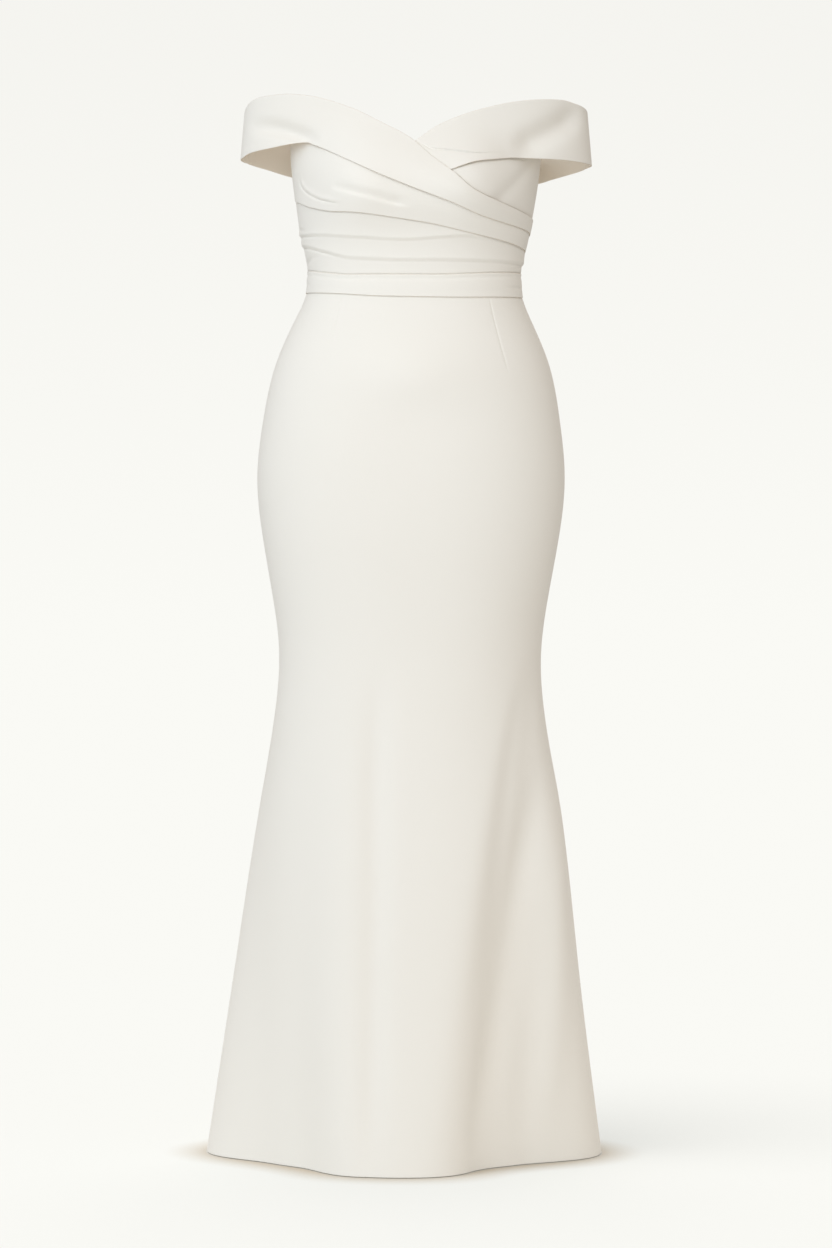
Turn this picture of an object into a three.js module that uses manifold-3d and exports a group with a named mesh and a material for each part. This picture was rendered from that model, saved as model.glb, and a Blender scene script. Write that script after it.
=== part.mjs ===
// Off-the-shoulder trumpet gown in white crepe, filled out as when it is worn.
// A crossover bodice in layered pleats runs out into a broad sleeve band, over a waistband and a flared skirt.
// Millimetres, +Z up, the front faces -Y. The origin is on the body's axis at the bust line.
// An angle is in degrees round the body from centre front, positive towards +X; a height is along Z.

import * as THREE from 'three';
import { mergeVertices } from 'three/addons/utils/BufferGeometryUtils.js';
import Module from 'manifold-3d';

const wasm = await Module();
wasm.setup();

// Driving dimensions of the cloth
const WALL = 1.2;
const SEAM_GAP = 0.3;
const LAYER = WALL + SEAM_GAP;
const LAP = 9;
const HEM = -1220;
const KNEE = -590;
const HIP = -300;
const ARMHOLE = 58;

// Height over which a pleat's fold turns up, and where the pieces of the crossover begin, as angles
const CREASE = 1.2;
const CROSSING = {
  bandStart: -4,
  freeEdge: 22,
  pleatShare: 0.4,
  cupStart: 19,
  leftArmhole: -62,
  rightArmhole: 55,
};

// Seam lines, as angles round the body
const SIDE_SEAM = 90;
const ARM_SEAM = 96;
const CENTRE_BACK = 180;
const COLUMN_STEP = 6;
const ARM_COLUMNS = { step: 3, from: 72, to: 114 };

// Body of the gown, section by section from the top edge down to the hem.
// centre is the section's shift along X, half its half width, front and back its depths, square its exponent.
const sections = [
  { height: 118, centre: 0, half: 150, front: 76, back: 80, square: 2.15 },
  { height: 60, centre: 0, half: 158, front: 90, back: 90, square: 2.2 },
  { height: 0, centre: -0.3, half: 153.6, front: 98, back: 93, square: 2.25 },
  { height: -65, centre: -1.5, half: 142.5, front: 94, back: 90, square: 2.25 },
  { height: -134, centre: -2.7, half: 136.3, front: 88, back: 88, square: 2.25 },
  { height: -165, centre: -3.8, half: 148.6, front: 93, back: 95, square: 2.3 },
  { height: -216, centre: -4.5, half: 170.5, front: 103, back: 112, square: 2.35 },
  { height: -292, centre: -5.7, half: 187.3, front: 112, back: 131, square: 2.4 },
  { height: -368, centre: -6.3, half: 194.3, front: 115, back: 139, square: 2.4 },
  { height: -445, centre: -6.5, half: 186.5, front: 114, back: 134, square: 2.4 },
  { height: -521, centre: -7, half: 173.3, front: 111, back: 124, square: 2.35 },
  { height: KNEE, centre: -7.5, half: 165.5, front: 111, back: 120, square: 2.3 },
  { height: -650, centre: -8.8, half: 169.5, front: 117, back: 126, square: 2.25 },
  { height: -775, centre: -10, half: 191, front: 140, back: 152, square: 2.2 },
  { height: -980, centre: -14, half: 219, front: 184, back: 208, square: 2.15 },
  { height: HEM, centre: -16, half: 251, front: 226, back: 272, square: 2.1 },
];

// Cups of the bodice: two soft domes and the bridge of cloth between them
const CUP = { side: 84, height: -8, width: 56, above: 60, below: 48, depth: 34 };
const BRIDGE = { share: 0.36, width: 48 };
const CUP_FALLOFF = 1.2;

// Valleys between the flutes of the flared hem. knee and hem are the angles at which each one starts and
// ends, a higher drift brings it over to its hem angle sooner, and start is its share of its width at the knee.
const valleys = [
  { knee: -70, hem: -51, drift: 1, depth: 52, width: 26, start: 1 },
  { knee: 72, hem: 45, drift: 3, depth: 58, width: 25, start: 0.25 },
  { knee: -112, hem: -119, drift: 1, depth: 34, width: 17, start: 1 },
  { knee: -150, hem: -155, drift: 1, depth: 24, width: 14, start: 1 },
  { knee: 114, hem: 121, drift: 1, depth: 38, width: 18, start: 1 },
  { knee: 148, hem: 153, drift: 1, depth: 26, width: 15, start: 1 },
];
const VALLEY_ONSET = 1.3;
const VALLEY_FLATNESS = 3;

// Ring of the sleeve band round both upper arms. It leans in towards the top.
const ARM_RING = { half: 222.3, front: 88, back: 88, square: 2.05, lean: 0.085, height: 38 };
const RING_BLEND = 5;
const BAND_LEAVES_FRONT = { from: 2, to: 34 };
const BAND_MEETS_BACK = { from: 140, to: 165 };

// Edges of the pleats, bands and seams, each as rows of angle and height
const edges = {
  leftBandTop: [
    [-180, 68], [-150, 72], [-135, 77], [-120, 84], [-105, 92], [-89, 98.5], [-84.7, 106.3], [-78.9, 112.3],
    [-71.4, 113.4], [-64.9, 110.7], [-48.8, 96.2], [-27.7, 74.8], [-4.7, 53.6], [13.9, 25.9], [25.2, 10.3],
    [39.5, -14.1], [55.1, -27], [75, -37.7], [90, -42],
  ],
  leftBandBottom: [
    [-180, 5], [-150, 8], [-130, 14], [-111.5, 23.4], [-102.8, 31.9], [-95.1, 36.6], [-86, 38.6], [-82.5, 42],
    [-75, 46.1], [-64.7, 51.6], [-61.8, 47.3], [-42.3, 22.9], [-26.2, 6.5], [-7.7, -7.2], [25.1, -28.9],
    [44.1, -43.8], [57.9, -50.5], [77.1, -56.5], [90, -60],
  ],
  rightBandTop: [
    [-12, 36], [0, 49.8], [16.1, 68.3], [30.7, 80.3], [47.1, 92.4], [59.2, 101.1], [68.8, 105.9], [75.5, 107.3],
    [80.5, 104.6], [85.9, 100.7], [91, 97], [105, 92], [120, 84], [135, 77], [150, 72], [180, 68],
  ],
  rightBandBottom: [
    [15, 5], [25.3, 11.8], [32.2, 17.1], [40.5, 22.9], [52.2, 27.5], [62.2, 31.1], [74.5, 31.4], [86.3, 29.9],
    [92.7, 30.2], [100.2, 26.1], [107.1, 20.3], [111.9, 15.4], [130, 10], [150, 7], [180, 5],
  ],
  rightBandFold: [[-12, 54], [3.8, 45.9], [12, 38.5], [24, 36.7], [41, 33.5], [55, 36]],
  drapeBottom: [
    [-90, -15], [-78, -20.4], [-66.9, -29.3], [-53.6, -37.3], [-42.7, -39.7], [-20.3, -45.7], [12.6, -54.3],
    [42, -65.8], [58.5, -71.7], [77.1, -78.3], [90, -81],
  ],
  upperFold: [
    [-90, -62], [-66, -65.7], [-44, -70.9], [-7.4, -75.3], [19.6, -72.4], [37.2, -70.5], [60, -80], [90, -88],
  ],
  lowerFold: [[-90, -76], [-76.3, -78.6], [-63.6, -86], [-45, -96.9], [-7, -100.5], [49.7, -100.2], [90, -99]],
  waistTop: [
    [-180, -103], [-90, -104.5], [-76.2, -106.7], [-61.8, -111.4], [-45.3, -115], [15.3, -116], [75.8, -109],
    [90, -107], [180, -103],
  ],
  waistBottom: [
    [-180, -131], [-90, -132], [-77.2, -133.7], [-20.7, -142.7], [27.7, -143.8], [78.6, -139.3], [90, -137],
    [180, -131],
  ],
  leftArmhole: [
    [-180, 66], [-160, 66], [-145, 63], [-130, 60], [-115, ARMHOLE], [-90, ARMHOLE], [-75, 59], [-62, 60],
  ],
  rightArmhole: [
    [55, 40], [68, 48], [80, 55], [90, ARMHOLE], [115, ARMHOLE], [130, 60], [145, 63], [160, 66], [180, 66],
  ],
};

// Zip in the centre back seam
const ZIP = { bottom: HIP, halfWidth: 10, thickness: 1, slider: 54 };
const SLIDER = { width: 5.6, length: 9, thickness: 2 };
const CHEEK = { gap: 2.6, thickness: 0.8, reach: 2.6, length: 3, root: 0.4 };
const PULL = { length: 24, neck: 3.4, shoulder: 5, tip: 2.4, thickness: 1.2 };
const PULL_WIDTH = { neck: 2, top: 4, bottom: 7 };
const HINGE = { eye: 1.3, bore: 0.8, pin: 0.5, barrel: 2, clearance: 0.2, drop: 1, sides: 12 };

const crepe = { color: 0xf0eee8, roughness: 0.82, metalness: 0 };
const zipCloth = { color: 0xe9e6de, roughness: 0.9, metalness: 0 };
const zipMetal = { color: 0xe4e1da, roughness: 0.45, metalness: 0.2 };

const { degToRad: radians, radToDeg: degrees, clamp, lerp, smoothstep, euclideanModulo } = THREE.MathUtils;

// Smooth curve through rows of [x, y] that rises and falls only where the rows do
function curveThrough(rows) {
  const steps = rows.slice(1).map((row, i) => (row[1] - rows[i][1]) / (row[0] - rows[i][0]));
  const slopes = rows.map((row, i) => {
    if (i === 0) return steps[0];
    if (i === rows.length - 1) return steps[i - 1];
    const sameWay = steps[i - 1] * steps[i] > 0;
    return sameWay ? 2 * steps[i - 1] * steps[i] / (steps[i - 1] + steps[i]) : 0;
  });
  return (x) => {
    const held = clamp(x, rows[0][0], rows[rows.length - 1][0]);
    const i = Math.min(rows.findLastIndex((row) => row[0] <= held), rows.length - 2);
    const width = rows[i + 1][0] - rows[i][0];
    const t = (held - rows[i][0]) / width;
    const start = (1 + 2 * t) * (1 - t) ** 2 * rows[i][1] + t * (1 - t) ** 2 * width * slopes[i];
    const end = t * t * (3 - 2 * t) * rows[i + 1][1] + t * t * (t - 1) * width * slopes[i + 1];
    return start + end;
  };
}

const upwards = [...sections].reverse();
const profile = Object.fromEntries(['centre', 'half', 'front', 'back', 'square'].map(
  (key) => [key, curveThrough(upwards.map((section) => [section.height, section[key]]))],
));
const line = Object.fromEntries(Object.entries(edges).map(([name, rows]) => [name, curveThrough(rows)]));

const raised = (edge, amount) => (angle) => edge(angle) + amount;
const level = (height) => () => height;

// Radius of a rounded section in the direction of an angle
function sectionRadius(angle, half, front, back, square) {
  const across = Math.abs(Math.sin(radians(angle))) / half;
  const along = Math.cos(radians(angle));
  const depth = along > 0 ? front : back;
  return (across ** square + Math.abs(along / depth) ** square) ** (-1 / square);
}

function cupDepth(x, height) {
  const reach = height > CUP.height ? CUP.above : CUP.below;
  const rightDome = Math.exp(-(((x - CUP.side) / CUP.width) ** 2));
  const leftDome = Math.exp(-(((x + CUP.side) / CUP.width) ** 2));
  const bridge = BRIDGE.share * Math.exp(-((x / BRIDGE.width) ** 2));
  return CUP.depth * (rightDome + leftDome + bridge) * Math.exp(-(((height - CUP.height) / reach) ** 2));
}

function wrapAngle(angle) {
  return euclideanModulo(angle + 180, 360) - 180;
}

// How far the hem's valleys draw the skirt in at an angle and a height
function valleyDepth(angle, height) {
  const flare = clamp((KNEE - height) / (KNEE - HEM), 0, 1);
  return valleys.reduce((total, valley) => {
    const centre = lerp(valley.hem, valley.knee, (1 - flare) ** valley.drift);
    const width = valley.width * lerp(valley.start, 1, flare);
    const away = Math.abs(wrapAngle(angle - centre)) / width;
    return total + valley.depth * flare ** VALLEY_ONSET * Math.exp(-(away ** VALLEY_FLATNESS));
  }, 0);
}

// A point of the gown's body in plan, about the section's own centre
function bodyPlan(angle, height) {
  const radius = sectionRadius(
    angle, profile.half(height), profile.front(height), profile.back(height), profile.square(height),
  ) - valleyDepth(angle, height);
  const x = radius * Math.sin(radians(angle));
  const facing = clamp(Math.cos(radians(angle)), 0, 1) ** CUP_FALLOFF;
  return [x, -radius * Math.cos(radians(angle)) - cupDepth(x, height) * facing];
}

// Moves a plan point out by an offset, square to the surface
function offsetPlan(plan, angle, height, offset) {
  const step = 0.01;
  const [x, y] = plan(angle, height);
  const [xa, ya] = plan(angle - step, height);
  const [xb, yb] = plan(angle + step, height);
  const length = Math.hypot(xb - xa, yb - ya);
  return [x + (yb - ya) / length * offset, y - (xb - xa) / length * offset];
}

function bodySurface(angle, height, offset) {
  const [x, y] = offsetPlan(bodyPlan, angle, height, offset);
  return [x + profile.centre(height), y, height];
}

// The sleeve band lies on the body at centre front and back, and swings out round the arm between them.
// layer is how far it lies off the body where it touches.
function bandSurface(side, layer) {
  const plan = (angle, height) => {
    const [bodyX, bodyY] = offsetPlan(bodyPlan, angle, height, layer);
    const bodyRadius = Math.hypot(bodyX, bodyY);
    const direction = degrees(Math.atan2(bodyX, -bodyY));
    const half = ARM_RING.half - ARM_RING.lean * (height - ARM_RING.height);
    const ring = sectionRadius(direction, half, ARM_RING.front, ARM_RING.back, ARM_RING.square);
    const outer = Math.max(bodyRadius, ring);
    const blended = outer + RING_BLEND * Math.log1p(Math.exp(-Math.abs(bodyRadius - ring) / RING_BLEND));
    const turn = Math.abs(direction);
    const onItsSide = Math.sign(direction) === side ? 1 : 0;
    const swing = onItsSide * smoothstep(turn, BAND_LEAVES_FRONT.from, BAND_LEAVES_FRONT.to)
      * (1 - smoothstep(turn, BAND_MEETS_BACK.from, BAND_MEETS_BACK.to));
    const radius = bodyRadius + (blended - bodyRadius) * swing;
    return [radius * Math.sin(radians(direction)), -radius * Math.cos(radians(direction))];
  };
  return (angle, height, offset) => {
    const [x, y] = offsetPlan(plan, angle, height, offset);
    return [x + profile.centre(height), y, height];
  };
}

// How far a fold lifts the cloth: steep at its line, dying away above it, faded in and out along its length
function foldLift(folds, angle, height) {
  return folds.reduce((total, fold) => {
    const above = height - fold.line(angle);
    const along = smoothstep(angle, fold.from, fold.from + fold.fade)
      * (1 - smoothstep(angle, fold.to - fold.fade, fold.to));
    const profileOut = above < 0 ? 0 : Math.exp(-above / fold.reach);
    return total + fold.rise * along * profileOut;
  }, 0);
}

// Angles of a panel's columns. A band has closer ones where it turns round the arm.
function columnsBetween(from, to, turnsRoundArm) {
  const angles = [from];
  for (let angle = -CENTRE_BACK; angle < CENTRE_BACK; angle += ARM_COLUMNS.step) {
    const turn = Math.abs(angle);
    const close = turnsRoundArm && turn > ARM_COLUMNS.from && turn < ARM_COLUMNS.to;
    const used = close || angle % COLUMN_STEP === 0;
    const inside = angle > from + ARM_COLUMNS.step / 2 && angle < to - ARM_COLUMNS.step / 2;
    if (used && inside) angles.push(angle);
  }
  angles.push(to);
  return angles;
}

// One cut piece of cloth as a closed wall over a grid of angles and heights.
// lines are its edges and creases from the bottom up, and counts the rows of faces between them.
function clothPanel({
  name, from, to, lines, counts, surface, layer = 0, wall = WALL, folds = [], material = crepe,
  seamGap = SEAM_GAP, turnsRoundArm = false, columns = columnsBetween(from, to, turnsRoundArm),
}) {
  const last = columns.length - 1;
  const positions = [];
  const rowHeights = (angle) => {
    const heights = [];
    counts.forEach((count, i) => {
      for (let row = 0; row < count; row += 1) {
        heights.push(lerp(lines[i](angle), lines[i + 1](angle), row / count));
      }
    });
    heights.push(lines[lines.length - 1](angle));
    return heights;
  };
  const rows = counts.reduce((sum, count) => sum + count, 0);
  for (const side of [0, 1]) {
    columns.forEach((angle, column) => {
      const inset = column === 0 ? seamGap / 2 : column === last ? -seamGap / 2 : 0;
      for (const height of rowHeights(angle)) {
        const [x, y] = surface(angle, height, 0);
        const seamAngle = angle + degrees(inset / Math.hypot(x, y));
        const offset = layer + foldLift(folds, angle, height) + side * wall;
        positions.push(...surface(seamAngle, height, offset));
      }
    });
  }
  const stride = rows + 1;
  const outer = columns.length * stride;
  const quads = [];
  const at = (side, column, row) => side * outer + column * stride + row;
  for (let column = 0; column < last; column += 1) {
    const next = column + 1;
    for (let row = 0; row < rows; row += 1) {
      quads.push([at(1, column, row), at(1, next, row), at(1, next, row + 1), at(1, column, row + 1)]);
      quads.push([at(0, column, row), at(0, column, row + 1), at(0, next, row + 1), at(0, next, row)]);
    }
    quads.push([at(0, column, 0), at(0, next, 0), at(1, next, 0), at(1, column, 0)]);
    quads.push([at(1, column, rows), at(1, next, rows), at(0, next, rows), at(0, column, rows)]);
  }
  for (let row = 0; row < rows; row += 1) {
    quads.push([at(0, 0, row), at(1, 0, row), at(1, 0, row + 1), at(0, 0, row + 1)]);
    quads.push([at(1, last, row), at(0, last, row), at(0, last, row + 1), at(1, last, row + 1)]);
  }
  const geometry = new THREE.BufferGeometry();
  geometry.setAttribute('position', new THREE.Float32BufferAttribute(positions, 3));
  geometry.setIndex(quads.flatMap(([a, b, c, d]) => [a, b, c, a, c, d]));
  geometry.computeVertexNormals();
  return namedMesh(name, geometry, material);
}

function namedMesh(name, geometry, material) {
  const mesh = new THREE.Mesh(geometry, new THREE.MeshStandardMaterial(material));
  mesh.name = name;
  return mesh;
}

// The outer layer of the crossover runs from the right side seam up over the left arm
function leftBandFront() {
  const bottom = line.leftBandBottom;
  const top = line.leftBandTop;
  return clothPanel({
    name: 'band_left_front',
    from: -ARM_SEAM,
    to: SIDE_SEAM,
    lines: [bottom, raised(bottom, LAP), raised(top, -LAP), top],
    counts: [2, 5, 2],
    surface: bandSurface(-1, 2 * LAYER),
    turnsRoundArm: true,
    folds: [{ line: bottom, rise: 1.8, reach: 11, from: -66, to: 92, fade: 26 }],
  });
}

// The right band starts under the left one, and its pleat stays clear of both its edges
function rightBandFront() {
  const underCrossing = raised(line.leftBandTop, -LAP);
  const lowerEdge = (angle) => {
    const hidden = underCrossing(angle);
    return angle < CROSSING.freeEdge ? hidden : Math.max(hidden, line.rightBandBottom(angle));
  };
  const foldLine = (angle) => {
    const lowest = lowerEdge(angle) + 2 * CREASE;
    const highest = lerp(lowerEdge(angle), line.rightBandTop(angle), CROSSING.pleatShare);
    return clamp(line.rightBandFold(angle), lowest, highest);
  };
  return clothPanel({
    name: 'band_right_front',
    from: CROSSING.bandStart,
    to: ARM_SEAM,
    lines: [lowerEdge, foldLine, raised(foldLine, CREASE), line.rightBandTop],
    counts: [3, 1, 6],
    surface: bandSurface(1, LAYER),
    turnsRoundArm: true,
    folds: [
      { line: line.rightBandFold, rise: 1.4, reach: 12, from: 10, to: 56, fade: 12 },
      { line: line.rightBandBottom, rise: 1.6, reach: 9, from: 24, to: 66, fade: 14 },
    ],
  });
}

function rightCup() {
  const upperEdge = (angle) => (
    angle < CROSSING.rightArmhole ? line.rightBandBottom(angle) + LAP : line.rightArmhole(angle)
  );
  return clothPanel({
    name: 'cup_right_front',
    from: CROSSING.cupStart,
    to: SIDE_SEAM,
    lines: [raised(line.leftBandTop, -LAP), upperEdge],
    counts: [11],
    surface: bodySurface,
  });
}

function leftDrape() {
  const upperEdge = (angle) => (
    angle < CROSSING.leftArmhole ? line.leftArmhole(angle) : line.leftBandBottom(angle) + LAP
  );
  const belowBand = (angle) => upperEdge(angle) - LAP;
  return clothPanel({
    name: 'drape_left_front',
    from: -SIDE_SEAM,
    to: SIDE_SEAM,
    lines: [line.drapeBottom, raised(line.drapeBottom, LAP), belowBand, upperEdge],
    counts: [2, 8, 2],
    surface: bodySurface,
    layer: LAYER,
    folds: [{ line: line.drapeBottom, rise: 1.4, reach: 10, from: -92, to: 92, fade: 30 }],
  });
}

function midriffFront() {
  return clothPanel({
    name: 'midriff_front',
    from: -SIDE_SEAM,
    to: SIDE_SEAM,
    lines: [
      raised(line.waistTop, -LAP), line.waistTop, line.lowerFold, raised(line.lowerFold, CREASE),
      line.upperFold, raised(line.upperFold, CREASE), line.drapeBottom, raised(line.drapeBottom, LAP),
    ],
    counts: [1, 1, 1, 2, 1, 2, 2],
    surface: bodySurface,
    folds: [
      { line: raised(line.lowerFold, CREASE / 2), rise: 2.2, reach: 12, from: -92, to: 92, fade: 16 },
      { line: raised(line.upperFold, CREASE / 2), rise: 2, reach: 9, from: -92, to: 44, fade: 16 },
    ],
  });
}

function waistband(name, from, to) {
  return clothPanel({
    name,
    from,
    to,
    lines: [line.waistBottom, raised(line.waistBottom, LAP), raised(line.waistTop, -LAP), line.waistTop],
    counts: [1, 2, 1],
    surface: bodySurface,
    layer: LAYER,
  });
}

function skirt(name, from, to) {
  return clothPanel({
    name,
    from,
    to,
    lines: [level(HEM), level(KNEE), level(HIP), line.waistBottom, raised(line.waistBottom, LAP)],
    counts: [5, 5, 6, 1],
    surface: bodySurface,
  });
}

function bodiceBack(name, side) {
  const armhole = side < 0 ? line.leftArmhole : line.rightArmhole;
  return clothPanel({
    name,
    from: side < 0 ? -CENTRE_BACK : SIDE_SEAM,
    to: side < 0 ? -SIDE_SEAM : CENTRE_BACK,
    lines: [raised(line.waistTop, -LAP), line.waistTop, armhole],
    counts: [1, 8],
    surface: bodySurface,
  });
}

function bandBack(name, side) {
  const bottom = side < 0 ? line.leftBandBottom : line.rightBandBottom;
  const top = side < 0 ? line.leftBandTop : line.rightBandTop;
  return clothPanel({
    name,
    from: side < 0 ? -CENTRE_BACK : ARM_SEAM,
    to: side < 0 ? -ARM_SEAM : CENTRE_BACK,
    lines: [bottom, top],
    counts: [7],
    surface: bandSurface(side, LAYER),
    turnsRoundArm: true,
  });
}

// The zip's tape lies inside the centre back seam, on the same rows as the cloth it is sewn to
function zipTape() {
  const waistLow = line.waistBottom(CENTRE_BACK);
  const waistHigh = line.waistTop(CENTRE_BACK);
  const top = line.rightArmhole(CENTRE_BACK);
  const tapeAngle = (side, height) => CENTRE_BACK + side * degrees(ZIP.halfWidth / profile.back(height));
  return clothPanel({
    name: 'zip_tape',
    columns: [-1, 0, 1],
    lines: [ZIP.bottom, waistLow, waistLow + LAP, waistHigh - LAP, waistHigh, top].map(level),
    counts: [6, 1, 1, 1, 8],
    surface: (side, height, offset) => bodySurface(tapeAngle(side, height), height, offset),
    seamGap: 0,
    layer: -SEAM_GAP - ZIP.thickness,
    wall: ZIP.thickness,
    material: zipCloth,
  });
}

function solidFrom(geometry) {
  const bare = geometry.clone();
  bare.deleteAttribute('normal');
  bare.deleteAttribute('uv');
  const merged = mergeVertices(bare);
  return new wasm.Manifold(new wasm.Mesh({
    numProp: 3,
    vertProperties: new Float32Array(merged.attributes.position.array),
    triVerts: new Uint32Array(merged.index.array),
  }));
}

function geometryFrom(solid) {
  const mesh = solid.getMesh();
  const geometry = new THREE.BufferGeometry();
  geometry.setAttribute('position', new THREE.BufferAttribute(new Float32Array(mesh.vertProperties), 3));
  geometry.setIndex(new THREE.BufferAttribute(new Uint32Array(mesh.triVerts), 1));
  geometry.computeVertexNormals();
  return geometry;
}

// A round bar along X, centred on the pull's hinge
function hingeBar(radius, length) {
  const bar = new THREE.CylinderGeometry(radius, radius, length, HINGE.sides);
  bar.rotateZ(Math.PI / 2);
  bar.translate(0, hinge.y, hinge.z);
  return solidFrom(bar);
}

function boxAt(width, depth, height, x, y, z) {
  const box = new THREE.BoxGeometry(width, depth, height);
  box.translate(x, y, z);
  return solidFrom(box);
}

// The slider sits on the band's outer face at centre back, and the pull hangs from the pin between its cheeks
const sliderInner = bodySurface(CENTRE_BACK, ZIP.slider - SLIDER.length / 2, 2 * LAYER)[1];
const sliderOuter = sliderInner + SLIDER.thickness;
const hinge = { y: sliderOuter + HINGE.eye + HINGE.clearance, z: ZIP.slider + HINGE.drop };

function zipSlider() {
  const plateY = (sliderInner + sliderOuter) / 2;
  const plate = boxAt(SLIDER.width, SLIDER.thickness, SLIDER.length, 0, plateY, ZIP.slider);
  const cheekX = (CHEEK.gap + CHEEK.thickness) / 2;
  const cheekY = sliderOuter + (CHEEK.reach - CHEEK.root) / 2;
  const cheeks = [-cheekX, cheekX].map(
    (x) => boxAt(CHEEK.thickness, CHEEK.reach + CHEEK.root, CHEEK.length, x, cheekY, hinge.z),
  );
  const pin = hingeBar(HINGE.pin, CHEEK.gap + CHEEK.thickness);
  return namedMesh('zip_slider', geometryFrom(plate.add(cheeks[0]).add(cheeks[1]).add(pin)), zipMetal);
}

function zipPull() {
  const rightSide = [
    [PULL_WIDTH.neck / 2, 0],
    [PULL_WIDTH.neck / 2, -PULL.neck],
    [PULL_WIDTH.top / 2, -PULL.shoulder],
    [PULL_WIDTH.bottom / 2, PULL.tip - PULL.length],
    [PULL_WIDTH.bottom / 4, -PULL.length],
  ];
  const leftSide = rightSide.map(([x, drop]) => [-x, drop]).reverse();
  const outline = new THREE.Shape([...rightSide, ...leftSide].map(([x, drop]) => new THREE.Vector2(x, drop)));
  const plate = new THREE.ExtrudeGeometry(outline, { depth: PULL.thickness, bevelEnabled: false });
  plate.rotateX(Math.PI / 2);
  plate.translate(0, hinge.y + PULL.thickness / 2, hinge.z);
  const barrel = hingeBar(HINGE.eye, HINGE.barrel);
  const bore = hingeBar(HINGE.bore, HINGE.barrel * 2);
  return namedMesh('zip_pull', geometryFrom(solidFrom(plate).add(barrel).subtract(bore)), zipMetal);
}

const gown = new THREE.Group();
gown.name = 'off_shoulder_dress';
gown.add(
  leftBandFront(),
  rightBandFront(),
  rightCup(),
  leftDrape(),
  midriffFront(),
  waistband('waistband_front', -SIDE_SEAM, SIDE_SEAM),
  waistband('waistband_back_left', -CENTRE_BACK, -SIDE_SEAM),
  waistband('waistband_back_right', SIDE_SEAM, CENTRE_BACK),
  skirt('skirt_front', -SIDE_SEAM, SIDE_SEAM),
  skirt('skirt_back_left', -CENTRE_BACK, -SIDE_SEAM),
  skirt('skirt_back_right', SIDE_SEAM, CENTRE_BACK),
  bodiceBack('bodice_back_left', -1),
  bodiceBack('bodice_back_right', 1),
  bandBack('band_back_left', -1),
  bandBack('band_back_right', 1),
  zipTape(),
  zipSlider(),
  zipPull(),
);

export default gown;
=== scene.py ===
# Off-the-shoulder trumpet gown in white crepe, filled out as when it is worn: the looks of every piece.
# Each cloth piece repeats its solid's form from the same driving dimensions, on finer rows and columns, and
# adds the pleats' rounded folds, the creases, seams and darts. The zip gets its coil and its stitches.
# The form is in millimetres and degrees and turns to metres where a mesh is made. The front faces -Y.
# An angle is round the body from centre front, positive towards +X; a height is along Z.

import math

import bmesh
import bpy
import numpy as np
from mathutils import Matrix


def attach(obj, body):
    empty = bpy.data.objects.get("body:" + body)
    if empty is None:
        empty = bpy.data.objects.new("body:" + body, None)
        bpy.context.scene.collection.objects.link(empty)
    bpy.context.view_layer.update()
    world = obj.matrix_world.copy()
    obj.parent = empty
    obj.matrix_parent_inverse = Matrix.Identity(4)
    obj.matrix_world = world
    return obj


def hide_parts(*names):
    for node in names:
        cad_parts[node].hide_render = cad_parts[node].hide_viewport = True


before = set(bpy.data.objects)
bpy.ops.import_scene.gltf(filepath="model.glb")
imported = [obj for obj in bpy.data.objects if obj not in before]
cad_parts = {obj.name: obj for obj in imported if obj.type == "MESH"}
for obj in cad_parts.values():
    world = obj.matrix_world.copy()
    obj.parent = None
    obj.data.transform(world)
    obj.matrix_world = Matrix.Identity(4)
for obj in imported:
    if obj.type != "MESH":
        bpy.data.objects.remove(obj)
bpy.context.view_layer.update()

MM = 0.001

# Driving dimensions of the cloth
WALL = 1.2
SEAM_GAP = 0.3
LAYER = WALL + SEAM_GAP
LAP = 9
HEM = -1220
KNEE = -590
HIP = -300
ARMHOLE = 58
SIDE_SEAM = 90
ARM_SEAM = 96
CENTRE_BACK = 180
SPANS = {
    "front": (-SIDE_SEAM, SIDE_SEAM),
    "back_left": (-CENTRE_BACK, -SIDE_SEAM),
    "back_right": (SIDE_SEAM, CENTRE_BACK),
}
CROSSING = {"band_start": -4, "free_edge": 22, "cup_start": 19, "left_armhole": -62, "right_armhole": 55}

# A plain cut edge and rolled ones, with how many rows at a rolled tip are painted in shade, the dip at a
# seam, and how far a side seam presses the layers flat
CUT_EDGE = {"reach": 0, "steps": 0, "tip": 1, "shaded_rows": 0}
ROLL = {"reach": 1.5, "steps": 6, "tip": 0.25, "shaded_rows": 2}
HEM_ROLL = {"reach": 1.6, "steps": 5, "tip": 0.3, "shaded_rows": 0}
SEAM_DIP = {"depth": 0.8, "width": 1.7}
PRESSED = {"share": 0.5, "width": 7}

# The crevice beside an edge that covers a panel: how far outside that edge it lies, its depth and its width
CREVICE = {"outside": 0.4, "depth": 0.6, "width": 0.8}

# Crepe of a cut piece and painted shades on it, each in two close colours that a random mottle mixes: the
# face; the wrong side, whose warm tan is painted shade for the dim light inside the gown; and the shaded
# tip of a fold, painted darker as the shade in its crease
FACE, INSIDE, TIP = 0, 1, 2
CREPE_AND_PAINTED_SHADES = {
    "crepe": ((0.88, 0.852, 0.79), (0.865, 0.835, 0.77)),
    # painted shade: the warm dim light inside the gown, on every inner face
    "crepe_inside_painted_shade": ((0.82, 0.745, 0.64), (0.80, 0.725, 0.615)),
    # painted shade: the dark crease at the tip of a folded edge
    "crepe_tip_painted_shade": ((0.66, 0.55, 0.42), (0.64, 0.53, 0.40)),
}

# Least height of a piece's field between its rolled edges, where the edges run together
NARROWEST = 0.2

# Close rows where another piece's edge lies on a panel: their reach either side of it, how many there are
# and how many lie outside, and the shares of a narrow panel that they start and end at
CLOSE_ROWS = {"reach": 3, "count": 12, "outside": 3, "start": 0.2, "end": 0.45}

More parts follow.
